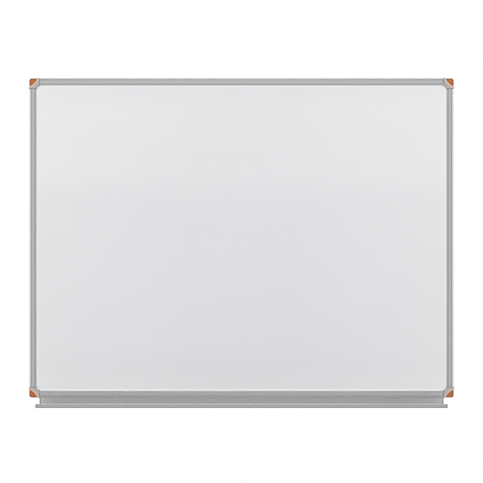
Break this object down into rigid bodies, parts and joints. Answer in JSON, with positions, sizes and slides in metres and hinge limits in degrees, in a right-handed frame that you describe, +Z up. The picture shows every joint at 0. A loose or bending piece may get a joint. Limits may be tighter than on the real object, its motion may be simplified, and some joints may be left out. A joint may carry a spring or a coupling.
{
  "type": "wall-mounted writing board",
  "caption": "Wide white writing board in an aluminium frame with moulded corner caps, pull-out covers over the wall screws and a pen tray below.",
  "frame": {"origin": "the middle of the board's frame, on the plane of the wall", "axes": "+X to the right along the board's width, +Y into the wall, +Z up"},
  "size_m": [1.2, 0.0722, 0.9229],
  "materials": {
    "white_lacquer": "glossy white lacquer on steel sheet",
    "core_fibreboard": "raw fibreboard",
    "galvanised_steel": "zinc-coated steel sheet",
    "anodised_aluminium": "satin anodised extrusion",
    "grey_moulding": "light grey moulding",
    "orange_moulding": "orange moulding",
    "zinc_plate": "zinc-plated steel"
  },
  "bodies": {
    "frame": {"writing_sheet": "white_lacquer", "core_board": "core_fibreboard", "backing_sheet": "galvanised_steel", "rail_top": "anodised_aluminium", "rail_right": "anodised_aluminium", "rail_bottom": "anodised_aluminium", "rail_left": "anodised_aluminium", "corner_cap_top_left": "grey_moulding", "corner_cap_top_right": "grey_moulding", "corner_cap_bottom_right": "grey_moulding", "corner_cap_bottom_left": "grey_moulding", "leg_screw_top_left_1": "zinc_plate", "leg_screw_top_left_2": "zinc_plate", "leg_screw_top_right_1": "zinc_plate", "leg_screw_top_right_2": "zinc_plate", "leg_screw_bottom_right_1": "zinc_plate", "leg_screw_bottom_right_2": "zinc_plate", "leg_screw_bottom_left_1": "zinc_plate", "leg_screw_bottom_left_2": "zinc_plate", "pen_tray": "anodised_aluminium"},
    "cover_top_left": {"screw_cover_top_left": "orange_moulding"},
    "cover_top_right": {"screw_cover_top_right": "orange_moulding"},
    "cover_bottom_right": {"screw_cover_bottom_right": "orange_moulding"},
    "cover_bottom_left": {"screw_cover_bottom_left": "orange_moulding"}
  },
  "joints": [
    {"name": "pull_cover_top_left", "type": "slide", "parent": "frame", "child": "cover_top_left", "axis": [0, -1, 0], "range_m": [0, 0.02]},
    {"name": "pull_cover_top_right", "type": "slide", "parent": "frame", "child": "cover_top_right", "axis": [0, -1, 0], "range_m": [0, 0.02]},
    {"name": "pull_cover_bottom_right", "type": "slide", "parent": "frame", "child": "cover_bottom_right", "axis": [0, -1, 0], "range_m": [0, 0.02]},
    {"name": "pull_cover_bottom_left", "type": "slide", "parent": "frame", "child": "cover_bottom_left", "axis": [0, -1, 0], "range_m": [0, 0.02]}
  ]
}
